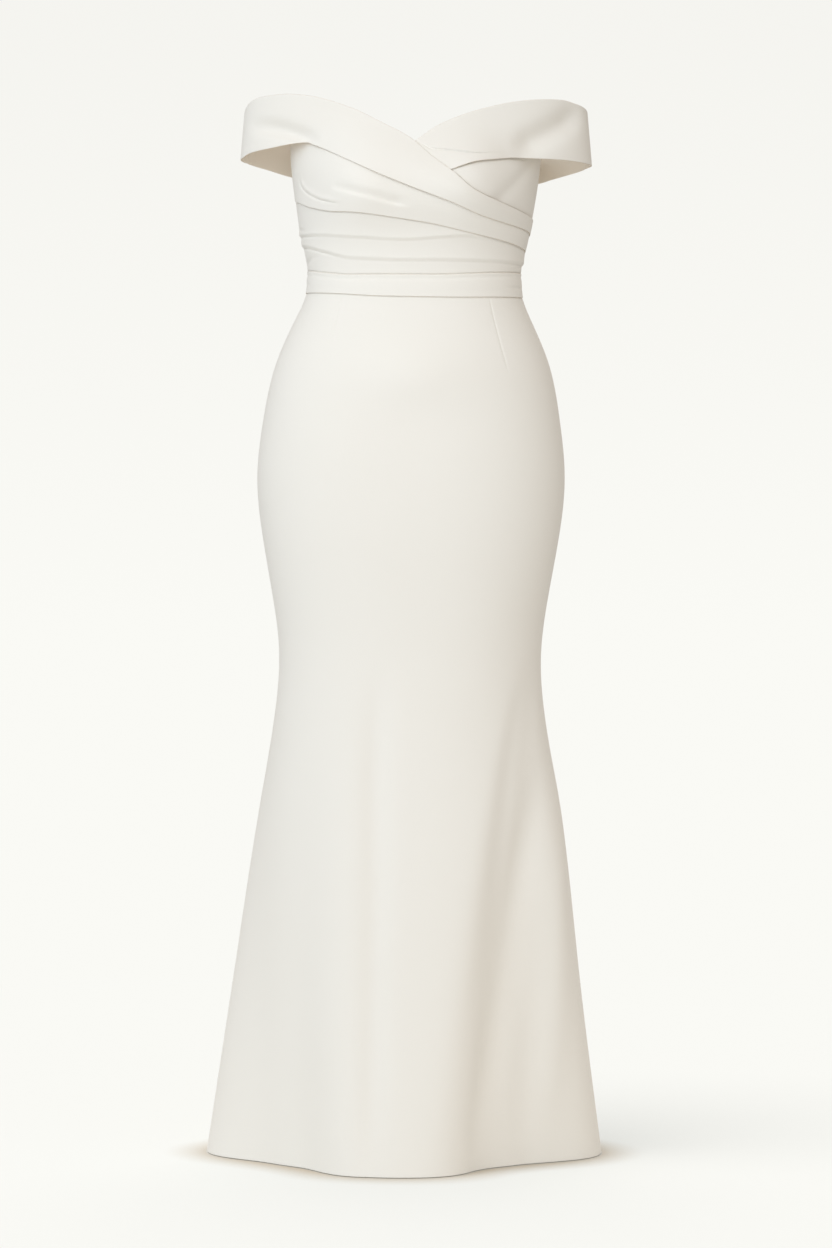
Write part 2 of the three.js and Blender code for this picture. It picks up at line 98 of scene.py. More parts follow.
# Columns: steps from a seam inwards, the step in a dense stretch, and the least distance between two
COLUMNS = {"beside_seam": (0.12, 0.27, 0.45, 0.68), "dense_step": 0.2, "least": 0.06}

# How fast a pleat's swell rises from its edges, and how many of its widths a crease is felt across
SWELL_POWER = 1.5
CREASE_REACH = 3

# Body of the gown, section by section: height, shift along X, half width, front depth, back depth, exponent
SECTIONS = [
    (118, 0, 150, 76, 80, 2.15),
    (60, 0, 158, 90, 90, 2.2),
    (0, -0.3, 153.6, 98, 93, 2.25),
    (-65, -1.5, 142.5, 94, 90, 2.25),
    (-134, -2.7, 136.3, 88, 88, 2.25),
    (-165, -3.8, 148.6, 93, 95, 2.3),
    (-216, -4.5, 170.5, 103, 112, 2.35),
    (-292, -5.7, 187.3, 112, 131, 2.4),
    (-368, -6.3, 194.3, 115, 139, 2.4),
    (-445, -6.5, 186.5, 114, 134, 2.4),
    (-521, -7, 173.3, 111, 124, 2.35),
    (KNEE, -7.5, 165.5, 111, 120, 2.3),
    (-650, -8.8, 169.5, 117, 126, 2.25),
    (-775, -10, 191, 140, 152, 2.2),
    (-980, -14, 219, 184, 208, 2.15),
    (HEM, -16, 251, 226, 272, 2.1),
]

# Cups of the bodice: two soft domes and the bridge of cloth between them
CUP = {"side": 84, "height": -8, "width": 56, "above": 60, "below": 48, "depth": 34}
BRIDGE = {"share": 0.36, "width": 48}
CUP_FALLOFF = 1.2

# Valleys between the flutes of the flared hem: angle at the knee, angle at the hem, drift (a higher one
# brings it over to its hem angle sooner), depth, width, and the share of its width that it has at the knee
VALLEYS = [
    (-70, -51, 1, 52, 26, 1),
    (72, 45, 3, 58, 25, 0.25),
    (-112, -119, 1, 34, 17, 1),
    (-150, -155, 1, 24, 14, 1),
    (114, 121, 1, 38, 18, 1),
    (148, 153, 1, 26, 15, 1),
]
VALLEY_ONSET = 1.3
VALLEY_FLATNESS = 3

# Ring of the sleeve band round both upper arms. It leans in towards the top.
ARM_RING = {"half": 222.3, "front": 88, "back": 88, "square": 2.05, "lean": 0.085, "height": 38}
RING_BLEND = 5
BAND_LEAVES_FRONT = (2, 34)
BAND_MEETS_BACK = (140, 165)

# Edges of the pleats, bands and seams, each as rows of angle and height
EDGES = {
    "left_band_top": [
        (-180, 68), (-150, 72), (-135, 77), (-120, 84), (-105, 92), (-89, 98.5), (-84.7, 106.3),
        (-78.9, 112.3), (-71.4, 113.4), (-64.9, 110.7), (-48.8, 96.2), (-27.7, 74.8), (-4.7, 53.6),
        (13.9, 25.9), (25.2, 10.3), (39.5, -14.1), (55.1, -27), (75, -37.7), (90, -42),
    ],
    "left_band_bottom": [
        (-180, 5), (-150, 8), (-130, 14), (-111.5, 23.4), (-102.8, 31.9), (-95.1, 36.6), (-86, 38.6),
        (-82.5, 42), (-75, 46.1), (-64.7, 51.6), (-61.8, 47.3), (-42.3, 22.9), (-26.2, 6.5), (-7.7, -7.2),
        (25.1, -28.9), (44.1, -43.8), (57.9, -50.5), (77.1, -56.5), (90, -60),
    ],
    "right_band_top": [
        (-12, 36), (0, 49.8), (16.1, 68.3), (30.7, 80.3), (47.1, 92.4), (59.2, 101.1), (68.8, 105.9),
        (75.5, 107.3), (80.5, 104.6), (85.9, 100.7), (91, 97), (105, 92), (120, 84), (135, 77),
        (150, 72), (180, 68),
    ],
    "right_band_bottom": [
        (15, 5), (25.3, 11.8), (32.2, 17.1), (40.5, 22.9), (52.2, 27.5), (62.2, 31.1), (74.5, 31.4),
        (86.3, 29.9), (92.7, 30.2), (100.2, 26.1), (107.1, 20.3), (111.9, 15.4), (130, 10), (150, 7),
        (180, 5),
    ],
    "right_band_fold": [(-12, 54), (3.8, 45.9), (12, 38.5), (24, 36.7), (41, 33.5), (55, 36)],
    "drape_bottom": [
        (-90, -15), (-78, -20.4), (-66.9, -29.3), (-53.6, -37.3), (-42.7, -39.7), (-20.3, -45.7),
        (12.6, -54.3), (42, -65.8), (58.5, -71.7), (77.1, -78.3), (90, -81),
    ],
    "upper_fold": [
        (-90, -62), (-66, -65.7), (-44, -70.9), (-7.4, -75.3), (19.6, -72.4), (37.2, -70.5), (60, -80),
        (90, -88),
    ],
    "lower_fold": [
        (-90, -76), (-76.3, -78.6), (-63.6, -86), (-45, -96.9), (-7, -100.5), (49.7, -100.2), (90, -99),
    ],
    "waist_top": [
        (-180, -103), (-90, -104.5), (-76.2, -106.7), (-61.8, -111.4), (-45.3, -115), (15.3, -116),
        (75.8, -109), (90, -107), (180, -103),
    ],
    "waist_bottom": [
        (-180, -131), (-90, -132), (-77.2, -133.7), (-20.7, -142.7), (27.7, -143.8), (78.6, -139.3),
        (90, -137), (180, -131),
    ],
    "left_armhole": [
        (-180, 66), (-160, 66), (-145, 63), (-130, 60), (-115, ARMHOLE), (-90, ARMHOLE), (-75, 59),
        (-62, 60),
    ],
    "right_armhole": [
        (55, 40), (68, 48), (80, 55), (90, ARMHOLE), (115, ARMHOLE), (130, 60), (145, 63), (160, 66),
        (180, 66),
    ],
}

# Zip in the centre back seam, and how much of it the coil and the stitches leave free at the ends
ZIP = {"bottom": HIP, "half_width": 10, "thickness": 1.0}
COIL = {
    "pitch": 1.4, "wire": 0.26, "half_width": 1.5, "depth": 0.7, "shift": 0.9, "turn_points": 8,
    "phase": 0.25, "clear": 0.15, "free_top": 3, "free_bottom": 4,
}
STITCH = {"length": 2.6, "gap": 1.0, "radius": 0.17, "inset": 2.2, "free": 6}

# Path of one stitch: share of its length and depth below the tape's inner side
STITCH_PATH = [(0, -0.05), (0.2, 0.12), (0.5, 0.16), (0.8, 0.12), (1, -0.05)]

# Thin tubes: their sides, and a direction that none of them runs in
TUBE_SIDES = 4
SLANT = (0.31, 0.17, 0.94)

# Cast parts of the zip, in metres and radians: their rounding, how close corners are one, the turn of a
# flat edge, the least turn of a rounded one, and the turn above which shading breaks
CAST = {
    "rounding": 0.00018, "weld": 0.0000018, "flat": math.radians(1), "sharp": 0.7, "hard": math.radians(50),
}

# How far round the swell below the waist goes
BELLY_SPREAD = 38

# The photograph's camera, in metres, and its 36 mm sensor
CAMERA = {"distance": 4.6, "height": -0.5512, "lens": 104.48, "sensor": 36, "clip_end": 100}

# Stage: backdrop, floor, the shade painted on the floor at the hem's foot, and ambient light
BACKDROP = {"level": (0.955, 0.953, 0.912), "high": (0.914, 0.908, 0.870), "rise": 0.16}
FLOOR = {
    "clearance": 1, "radius": 9, "paper": (0.86, 0.84, 0.80), "shaded_share": 0.62, "fade": (0.9, 2.2),
}
# Painted shadow under the hem: how far off the gown is felt, how open the floor must be to stay clear, and
# the painted shade's colour
CONTACT_PAINTED_SHADE = {"reach": 0.06, "open": 0.5, "colour": (0.66, 0.56, 0.45)}
AMBIENT = {"strength": 0.672, "colour": (0.988, 0.923, 0.853)}
BOUNCE = 0.25

# Far lights: azimuth from centre front, elevation, strength in watts a square metre, angle across, and the
# colour of those that aren't white
LIGHTS = {
    "left": (-45, 15, 1.17, 60, (0.67, 0.83, 1.0)),
    "back": (172, 25, 0.5, 20, (1.0, 0.97, 0.93)),
}
FLOOR_LIGHTS = {"floor_left": (-48, 72, 1.65, 34), "floor_rear": (178, 66, 0.65, 36)}

# Near lamps: place and size in metres, power in watts
LAMPS = {
    "front": ((-0.11, -1.1, 0.08), 0.9, 3.3),
    "low": ((0.62, -1.0, -1.12), 0.8, 1.4),
}


def clamp(value, low, high):
    return np.minimum(np.maximum(value, low), high)


def smoothstep(value, low, high):
    t = clamp((value - low) / (high - low), 0, 1)
    return t * t * (3 - 2 * t)


def hermite(x, y, slopes):
    """Cubic through the points (x, y) with these slopes, held level outside them."""
    width = np.diff(x)

    def curve(at):
        held = clamp(at, x[0], x[-1])
        i = clamp(np.searchsorted(x, held, side="right") - 1, 0, len(x) - 2)
        t = (held - x[i]) / width[i]
        start = (1 + 2 * t) * (1 - t) ** 2 * y[i] + t * (1 - t) ** 2 * width[i] * slopes[i]
        end = t * t * (3 - 2 * t) * y[i + 1] + t * t * (t - 1) * width[i] * slopes[i + 1]
        return start + end

    return curve


def curve_through(rows):
    """Smooth curve through rows of (x, y) that rises and falls only where the rows do."""
    x, y = np.array(rows, float).T
    steps = np.diff(y) / np.diff(x)
    slopes = np.zeros(len(x))
    slopes[[0, -1]] = steps[[0, -1]]
    for i in range(1, len(x) - 1):
        before, after = steps[i - 1], steps[i]
        if before * after > 0:
            slopes[i] = 2 * before * after / (before + after)
    return hermite(x, y, slopes)


def even_curve(x, y):
    """Natural cubic spline, whose bend has no jumps, so that no line shows across a smooth panel."""
    width = np.diff(x)
    steps = np.diff(y) / width
    size = len(x)
    system = np.zeros((size, size))
    target = np.zeros(size)
    system[0, :2] = [2, 1]
    target[0] = 3 * steps[0]
    system[-1, -2:] = [1, 2]
    target[-1] = 3 * steps[-1]
    for i in range(1, size - 1):
        system[i, i - 1] = width[i]
        system[i, i] = 2 * (width[i - 1] + width[i])
        system[i, i + 1] = width[i - 1]
        target[i] = 3 * (width[i] * steps[i - 1] + width[i - 1] * steps[i])
    return hermite(x, y, np.linalg.solve(system, target))


upwards = np.array(SECTIONS[::-1], float)
PARTS = ("centre", "half", "front", "back", "square")
profile = {part: even_curve(upwards[:, 0], upwards[:, i + 1]) for i, part in enumerate(PARTS)}
line = {name: curve_through(rows) for name, rows in EDGES.items()}


def between(value, start, end, fade):
    """Whole between a start and an end, and fading to nothing at both."""
    return smoothstep(value, start, start + fade) * (1 - smoothstep(value, end - fade, end))


def raised(edge, amount):
    return lambda angle: edge(angle) + amount


def level(height):
    return lambda angle: np.full_like(angle, height, dtype=float)


def section_radius(angle, half, front, back, square):
    """Radius of a rounded section in the direction of an angle."""
    across = np.abs(np.sin(np.radians(angle))) / half
    along = np.cos(np.radians(angle))
    depth = np.where(along > 0, front, back)
    return (across**square + np.abs(along / depth) ** square) ** (-1 / square)


def cup_depth(x, height):
    reach = np.where(height > CUP["height"], CUP["above"], CUP["below"])
    domes = sum(np.exp(-(((x - side * CUP["side"]) / CUP["width"]) ** 2)) for side in (-1, 1))
    bridge = BRIDGE["share"] * np.exp(-((x / BRIDGE["width"]) ** 2))
    return CUP["depth"] * (domes + bridge) * np.exp(-(((height - CUP["height"]) / reach) ** 2))


def valley_depth(angle, height):
    """How far the hem's valleys draw the skirt in at an angle and a height."""
    flare = clamp((KNEE - height) / (KNEE - HEM), 0, 1)
    total = 0
    for knee, hem, drift, depth, width, start in VALLEYS:
        centre = hem + (knee - hem) * (1 - flare) ** drift
        away = np.abs((angle - centre + 180) % 360 - 180) / (width * (start + (1 - start) * flare))
        total = total + depth * flare**VALLEY_ONSET * np.exp(-(away**VALLEY_FLATNESS))
    return total


def body_plan(angle, height):
    """A point of the gown's body in plan, about the section's own centre."""
    sizes = [profile[part](height) for part in PARTS[1:]]
    radius = section_radius(angle, *sizes) - valley_depth(angle, height)
    x = radius * np.sin(np.radians(angle))
    facing = clamp(np.cos(np.radians(angle)), 0, 1) ** CUP_FALLOFF
    return x, -radius * np.cos(np.radians(angle)) - cup_depth(x, height) * facing


def offset_plan(plan, angle, height, offset):
    """Moves a plan point out by an offset, square to the surface."""
    step = 0.01
    x, y = plan(angle, height)
    xa, ya = plan(angle - step, height)
    xb, yb = plan(angle + step, height)
    length = np.hypot(xb - xa, yb - ya)
    return x + (yb - ya) / length * offset, y - (xb - xa) / length * offset


def placed(plan, angle, height, offset):
    angle, height, offset = np.broadcast_arrays(angle, height, offset)
    x, y = offset_plan(plan, angle, height, offset)
    return np.stack([x + profile["centre"](height), y, height], axis=-1)


def body_surface(angle, height, offset=0.0):
    return placed(body_plan, angle, height, offset)


def pressed(angle):
    """Share of the layers' thickness that is left near a side seam, where all of them are pressed flat."""
    return 1 - PRESSED["share"] * np.exp(-(((np.abs(angle) - SIDE_SEAM) / PRESSED["width"]) ** 2))


def band_surface(side, layer):
    """The sleeve band lies on the body at centre front and back, and swings out round the arm between."""

    def plan(angle, height):
        body_x, body_y = offset_plan(body_plan, angle, height, layer * pressed(angle))
        body_radius = np.hypot(body_x, body_y)
        direction = np.degrees(np.arctan2(body_x, -body_y))
        half = ARM_RING["half"] - ARM_RING["lean"] * (height - ARM_RING["height"])
        ring = section_radius(direction, half, ARM_RING["front"], ARM_RING["back"], ARM_RING["square"])
        apart = np.abs(body_radius - ring)
        outer = np.maximum(body_radius, ring) + RING_BLEND * np.log1p(np.exp(-apart / RING_BLEND))
        turn = np.abs(direction)
        swing = np.where(np.sign(direction) == side, 1, 0) * smoothstep(turn, *BAND_LEAVES_FRONT)
        swing = swing * (1 - smoothstep(turn, *BAND_MEETS_BACK))
        radius = body_radius + (outer - body_radius) * swing
        return radius * np.sin(np.radians(direction)), -radius * np.cos(np.radians(direction))

    return lambda angle, height, offset=0.0: placed(plan, angle, height, offset)


# Relief is what lifts or sinks the cloth off its plain form. Each kind is a function of the piece's grid.


def fold(edge, rise, reach, start, end, fade, turn=0.0):
    """A pleat's fold along an edge line: full just above it, dying away upwards. turn is how softly it
    starts."""

    def relief(grid):
        above = grid["height"] - edge(grid["angle"])
        lifted = np.where(above < 0, 0, np.exp(-np.maximum(above, 0) / reach))
        if turn:
            lifted = lifted * smoothstep(above, 0, turn)
        return rise * between(grid["angle"], start, end, fade) * lifted

    return relief


def fullness(bottom, top, amount, start=-200, end=200, fade=20):
    """The soft swell of a pleat between its two edges."""

    def relief(grid):
        low, high = bottom(grid["angle"]), top(grid["angle"])
        share = clamp((grid["height"] - low) / (high - low), 0, 1)
        return amount * between(grid["angle"], start, end, fade) * np.sin(math.pi * share) ** SWELL_POWER

    return relief


def crease(path, depth, width, other_side=1.0, fade=0.3, samples=40):
    """A soft trough along a path of (angle, height) points, or a ridge where depth is negative.
    width is its half width on the left of the path, and other_side the share of it on the right."""
    stations = np.arange(len(path))
    fine = np.linspace(0, stations[-1], samples)
    angles, heights = (curve_through(list(zip(stations, values)))(fine) for values in zip(*path))

    def relief(grid):
        route = grid["surface"](angles, heights)
        flat = grid["points"].reshape(-1, 3)
        reach = CREASE_REACH * width
        near = ((flat > route.min(0) - reach) & (flat < route.max(0) + reach)).all(1)
        lifted = np.zeros(len(flat))
        if not near.any():
            return lifted.reshape(grid["angle"].shape)
        steps = np.diff(route, axis=0)
        from_start = flat[near][:, None] - route[:-1]
        along = clamp((from_start * steps).sum(-1) / (steps**2).sum(-1), 0, 1)
        away = np.linalg.norm(from_start - along[..., None] * steps, axis=-1)
        nearest = away.argmin(1)
        each = np.arange(len(nearest))
        share = (nearest + along[each, nearest]) / (samples - 1)
        run, climb = np.diff(angles)[nearest], np.diff(heights)[nearest]
        behind_angle = grid["angle"].reshape(-1)[near] - angles[nearest]
        behind_height = grid["height"].reshape(-1)[near] - heights[nearest]
        on_left = run * behind_height - climb * behind_angle > 0
        reach_here = np.where(on_left, width, width * other_side)
        across = np.exp(-((away[each, nearest] / reach_here) ** 2))
        lifted[near] = -depth * between(share, 0, 1, fade) * across
        return lifted.reshape(grid["angle"].shape)

    return relief


def groove(edge, depth, width, start=-200, end=200, fade=12):
    """A trough along an edge line."""

    def relief(grid):
        angle = grid["angle"]
        slope = (edge(angle + 0.5) - edge(angle - 0.5)) / (math.radians(1) * grid["radius"])
        away = (grid["height"] - edge(angle)) / np.sqrt(1 + slope**2)
        return -depth * between(angle, start, end, fade) * np.exp(-((away / width) ** 2))

    return relief


def crevice(edge, side, *stretch, depth=CREVICE["depth"], width=CREVICE["width"]):
    """The crevice on a panel under another piece's edge: above that edge (1) or below it (-1)."""
    return groove(raised(edge, side * CREVICE["outside"]), depth, width, *stretch)


def belly(amount, height, reach):
    """The slight swell of the skirt's front below the waist."""

    def relief(grid):
        around = np.exp(-((grid["angle"] / BELLY_SPREAD) ** 2))
        return amount * around * np.exp(-(((grid["height"] - height) / reach) ** 2))

    return relief


def seam_dip(at):
    """The pressed seam at a piece's end, where the cloth turns in."""

    def relief(grid):
        away = np.radians(np.abs(grid["angle"] - at)) * grid["radius"]
        return -SEAM_DIP["depth"] * np.exp(-((away / SEAM_DIP["width"]) ** 2))

    return relief


def columns(start, end, step=1.0, dense=()):
    """Angles of a piece's columns: even ones, and closer ones beside both seams and in dense stretches."""
    even = np.linspace(start, end, round((end - start) / step) + 1)
    beside_seam = np.array(COLUMNS["beside_seam"])
    close = [np.arange(low, high, COLUMNS["dense_step"]) for low, high in dense]
    angles = np.unique(np.concatenate([even, start + beside_seam, end - beside_seam, *close]).round(3))
    apart = np.diff(angles, prepend=angles[0] - 1) > COLUMNS["least"]
    apart[[0, -1]] = True
    return angles[apart]


def edge_rows(kind, inwards, edge):
    """Close rows on a rolled edge, counted from the edge inwards: upwards (1) or downwards (-1)."""
    turns = [math.pi / 2 * i / kind["steps"] for i in range(kind["steps"])]
    return [raised(edge, inwards * kind["reach"] * (1 - math.cos(turn))) for turn in turns]


def edge_loss(kind, into):
    """Share of the wall's thickness that is gone at a depth into an edge. Only a rolled one thins out."""
    if not kind["steps"]:
        return np.zeros_like(into)
    inward = clamp(into / kind["reach"], 0, 1)
    return 1 - (kind["tip"] + (1 - kind["tip"]) * np.sqrt(1 - (1 - inward) ** 2))


def row_shares(span, rows, covered_low, covered_high):
    """Rows of a panel as shares of its columns' spans, with close rows at the edges of the pieces that
    cover its bottom and its top to a depth of LAP."""
    count, outside = CLOSE_ROWS["count"], CLOSE_ROWS["outside"]
    first = np.minimum((LAP - CLOSE_ROWS["reach"]) / span, CLOSE_ROWS["start"])
    last = np.minimum((LAP + CLOSE_ROWS["reach"]) / span, CLOSE_ROWS["end"])
    stops, counts = [np.zeros_like(span)], []
    if covered_low:
        stops += [first, last]
        counts += [outside, count]
    if covered_high:
        stops += [1 - last, 1 - first]
        counts += [rows, count]
    stops.append(np.ones_like(span))
    counts.append(outside if covered_high else rows)
    shares = [stops[0]]
    for before, after, number in zip(stops, stops[1:], counts):
        shares += [before + (after - before) * (i + 1) / number for i in range(number)]
    return shares


def cloth_piece(name, start, end, bottom, top, rows, surface=body_surface, layer=0.0, reliefs=(), seams=None,
                step=1.0, dense=(), bottom_edge=CUT_EDGE, top_edge=CUT_EDGE, top_free=False,
                bottom_free=False, covered_low=False, covered_high=False, inner_stride=4, wall=WALL,
                gap=SEAM_GAP, finishes_and_painted_shades=CREPE_AND_PAINTED_SHADES):
    """One cut piece of cloth as a closed thin wall, seamed at both ends or where seams says. A rolled edge
    thins out at its tip: a free one from both faces, any other from the outer face only, because its inner
    face lies on the cloth below."""
    angles = columns(start, end, step, dense)
    rolled_low = edge_rows(bottom_edge, 1, bottom)
    rolled_high = edge_rows(top_edge, -1, top)[::-1]
    low, high = bottom(angles) + bottom_edge["reach"], top(angles) - top_edge["reach"]
    heights = [edge(angles) for edge in rolled_low]
    span = np.maximum(high - low, NARROWEST)
    heights += [low + span * share for share in row_shares(span, rows, covered_low, covered_high)]
    heights += [edge(angles) for edge in rolled_high]
    height = np.stack(heights, axis=1)
    angle = np.repeat(angles[:, None], height.shape[1], axis=1)
    points = surface(angle, height)
    radius = np.hypot(points[..., 0], points[..., 1])
    grid = {"angle": angle, "height": height, "points": points, "radius": radius, "surface": surface}
    dips = [seam_dip(at) for at in ((start, end) if seams is None else seams)]
    relief = sum((lift(grid) for lift in [*reliefs, *dips]), np.zeros_like(height))
    inset = np.zeros_like(height)
    inset[0] = np.degrees(gap / 2 / radius[0])
    inset[-1] = -np.degrees(gap / 2 / radius[-1])
    low_loss = edge_loss(bottom_edge, height - bottom(angle))
    high_loss = edge_loss(top_edge, top(angle) - height)
    inner_lift = wall / 2 * (low_loss * bottom_free + high_loss * top_free)
    outer_drop = wall * (low_loss * (1 - bottom_free / 2) + high_loss * (1 - top_free / 2))
    flattened = pressed(angle)
    outer = surface(angle + inset, height, flattened * (layer + wall - outer_drop) + relief)
    inner = surface(angle + inset, height, flattened * (layer + inner_lift) + relief)
    last_row = height.shape[1] - 1
    kept = {*range(0, last_row, inner_stride), last_row}
    if bottom_free:
        kept |= {*range(len(rolled_low) + 1)}
    if top_free:
        kept |= {*range(last_row - len(rolled_high), last_row)}
    tips = bottom_edge["shaded_rows"], top_edge["shaded_rows"]
    piece = wall_mesh(name + "_cloth", outer, inner, sorted(kept), *tips)
    for finish_and_painted_shade in finishes_and_painted_shades:
        piece.data.materials.append(materials[finish_and_painted_shade])
    return piece


def smooth_mesh(name, corners, faces):
    """A smooth mesh of points in millimetres."""
    mesh = bpy.data.meshes.new(name)
    mesh.from_pydata((np.array(corners) * MM).tolist(), [], faces)
    mesh.shade_smooth()
    mesh.update()
    return mesh


def wall_mesh(name, outer, inner, kept, tip_low, tip_high):
    """Joins an outer grid of points and the kept rows of an inner one into one closed mesh. Its inner faces
    take the wrong side's painted shade, and the lowest tip_low and the highest tip_high rows of its outer
    faces take the painted shade of a fold's tip."""
    count, rows = outer.shape[:2]
    last = count - 1
    inner_rows = len(kept)
    corners = np.concatenate([outer.reshape(-1, 3), inner[:, kept].reshape(-1, 3)])

    def out(column, row):
        return column * rows + row

    def within(column, row):
        return count * rows + column * inner_rows + row

    faces = [
        (within(column, row), within(column, row + 1), within(column + 1, row + 1), within(column + 1, row))
        for column in range(last) for row in range(inner_rows - 1)
    ]
    # inner faces: the wrong side's painted shade
    finish_and_painted_shade = [INSIDE] * len(faces)
    for column in range(last):
        after = column + 1
        for row in range(rows - 1):
            faces.append((out(column, row), out(after, row), out(after, row + 1), out(column, row + 1)))
            # rows at a rolled edge's tip get the tip's painted shade
            finish_and_painted_shade.append(TIP if row < tip_low or row >= rows - 1 - tip_high else FACE)
        faces.append((within(column, 0), within(after, 0), out(after, 0), out(column, 0)))
        high, top = rows - 1, inner_rows - 1
        faces.append((out(column, high), out(after, high), within(after, top), within(column, top)))
        finish_and_painted_shade += [TIP if tip_low else FACE, TIP if tip_high else FACE]
    for i in range(inner_rows - 1):
        run = range(kept[i], kept[i + 1] + 1)
        faces.append((within(0, i), *(out(0, row) for row in run), within(0, i + 1)))
        faces.append((within(last, i + 1), *(out(last, row) for row in run[::-1]), within(last, i)))
    finish_and_painted_shade += [FACE] * (len(faces) - len(finish_and_painted_shade))
    mesh = smooth_mesh(name, corners, faces)
    mesh.polygons.foreach_set("material_index", finish_and_painted_shade)
    return linked(name, mesh)


def linked(name, data):
    piece = bpy.data.objects.new(name, data)
    bpy.context.scene.collection.objects.link(piece)
    return piece


# Materials


def feed(tree, node, inputs):
    """Links an input that is another node's output, and sets any other."""
    for socket, value in inputs.items():
        if isinstance(value, bpy.types.NodeSocket):
            tree.links.new(value, node.inputs[socket])
        else:
            node.inputs[socket].default_value = value


def add_node(tree, kind, inputs=None, **settings):
    """Adds a node and gives back its outputs."""
    node = tree.nodes.new("ShaderNode" + kind)
    for setting, value in settings.items():
        setattr(node, setting, value)
    feed(tree, node, inputs or {})
    return node.outputs


def shader(name, colour, roughness, metallic=0.0, specular=0.5):
    """A material with its node tree, its Principled shader and a coordinate in metres on the object."""
    material = bpy.data.materials.new(name)
    material.use_nodes = True
    tree = material.node_tree
    principled = tree.nodes["Principled BSDF"]
    feed(tree, principled, {
        "Base Color": (*colour, 1),
        "Roughness": roughness,
        "Metallic": metallic,
        "Specular IOR Level": specular,
    })
    return material, tree, principled, add_node(tree, "TexCoord")["Object"]


def noise(tree, place, scale, detail, stretch=(1, 1, 1)):
    """Noise of a scale in bumps a metre."""
    stretched = add_node(tree, "Mapping", {"Vector": place, "Scale": stretch})["Vector"]
    return add_node(tree, "TexNoise", {"Vector": stretched, "Scale": scale, "Detail": detail})["Fac"]


def ranged(tree, value, low, high):
    """The middle of a noise's range, from 0.3 to 0.7, turned into one from low to high."""
    inputs = {"Value": value, "From Min": 0.3, "From Max": 0.7, "To Min": low, "To Max": high}
    return add_node(tree, "MapRange", inputs)["Result"]


def blended(tree, factor, first, second):
    inputs = {"Factor": factor, "A": (*first, 1), "B": (*second, 1)}
    return add_node(tree, "Mix", inputs, data_type="RGBA")["Result"]


def bumped(tree, principled, layers):
    """Chains bump layers of (height value, distance in metres, strength) into the shader's normal."""
    normal = {}
    for height, distance, strength in layers:
        inputs = {"Height": height, "Distance": distance, "Strength": strength, **normal}
        normal = {"Normal": add_node(tree, "Bump", inputs)["Normal"]}
    feed(tree, principled, normal)


def crepe(name, lit, shaded):
    """Heavy crepe: a fine pebbled grain on a matt face with a faint lustre."""
    material, tree, principled, place = shader(name, lit, 0.7, specular=0.3)
    mottle = noise(tree, place, 9, 3)
    grain = noise(tree, place, 950, 2, stretch=(1, 1, 0.55))
    threads = noise(tree, place, 2300, 1, stretch=(0.5, 0.5, 1))
    feed(tree, principled, {
        "Sheen Weight": 0.15,
        "Sheen Roughness": 0.5,
        "Base Color": blended(tree, ranged(tree, mottle, 0.0, 0.35), lit, shaded),
        "Roughness": ranged(tree, grain, 0.62, 0.78),
    })
    bumped(tree, principled, [(grain, 0.00022, 0.35), (threads, 0.0001, 0.2)])
    return material


def zip_tape_cloth():
    """Woven polyester tape with fine ribs along it."""
    material, tree, principled, place = shader("zip_tape", (0.80, 0.79, 0.75), 0.85, specular=0.25)
    ribs = add_node(tree, "TexWave", {"Vector": place, "Scale": 330}, bands_direction="X")["Fac"]
    weave = noise(tree, place, 1800, 1)
    tone = ranged(tree, weave, 0.0, 0.5)
    feed(tree, principled, {"Base Color": blended(tree, tone, (0.81, 0.80, 0.76), (0.75, 0.735, 0.69))})
    bumped(tree, principled, [(ribs, 0.00015, 0.5), (weave, 0.0001, 0.3)])
    return material


def nylon():
    """Moulded nylon of the coil."""
    material, tree, principled, place = shader("nylon", (0.83, 0.82, 0.78), 0.35)
    haze = noise(tree, place, 700, 1)
    feed(tree, principled, {"Roughness": ranged(tree, haze, 0.28, 0.42)})
    bumped(tree, principled, [(haze, 0.00003, 0.3)])
    return material


def lacquered_metal():
    """Zinc casting under a thin white lacquer, a little worn to the metal."""
    material, tree, principled, place = shader("zip_metal", (0.80, 0.79, 0.76), 0.38, metallic=0.2)
    wear = noise(tree, place, 420, 3)
    feed(tree, principled, {
        "Coat Weight": 0.3,
        "Coat Roughness": 0.2,
        "Base Color": blended(tree, ranged(tree, wear, 0.0, 0.4), (0.82, 0.81, 0.78), (0.70, 0.69, 0.66)),
        "Roughness": ranged(tree, wear, 0.3, 0.46),
    })
    bumped(tree, principled, [(wear, 0.00004, 0.25)])
    return material


def thread():
    """Polyester sewing thread with its twist."""
    material, tree, principled, place = shader("thread", (0.82, 0.81, 0.77), 0.6)
    twist = noise(tree, place, 3000, 0, stretch=(1, 1, 0.4))
    tint = blended(tree, ranged(tree, twist, 0.0, 0.6), (0.84, 0.83, 0.79), (0.74, 0.73, 0.69))
    feed(tree, principled, {"Base Color": tint})
    bumped(tree, principled, [(twist, 0.00005, 0.4)])
    return material


# Crepe for the face, and crepe in darker colours that are painted shade on the inner faces and fold tips
materials = {name: crepe(name, *colours) for name, colours in CREPE_AND_PAINTED_SHADES.items()}
materials.update(zip_tape=zip_tape_cloth(), nylon=nylon(), zip_metal=lacquered_metal(), thread=thread())


# Cloth pieces


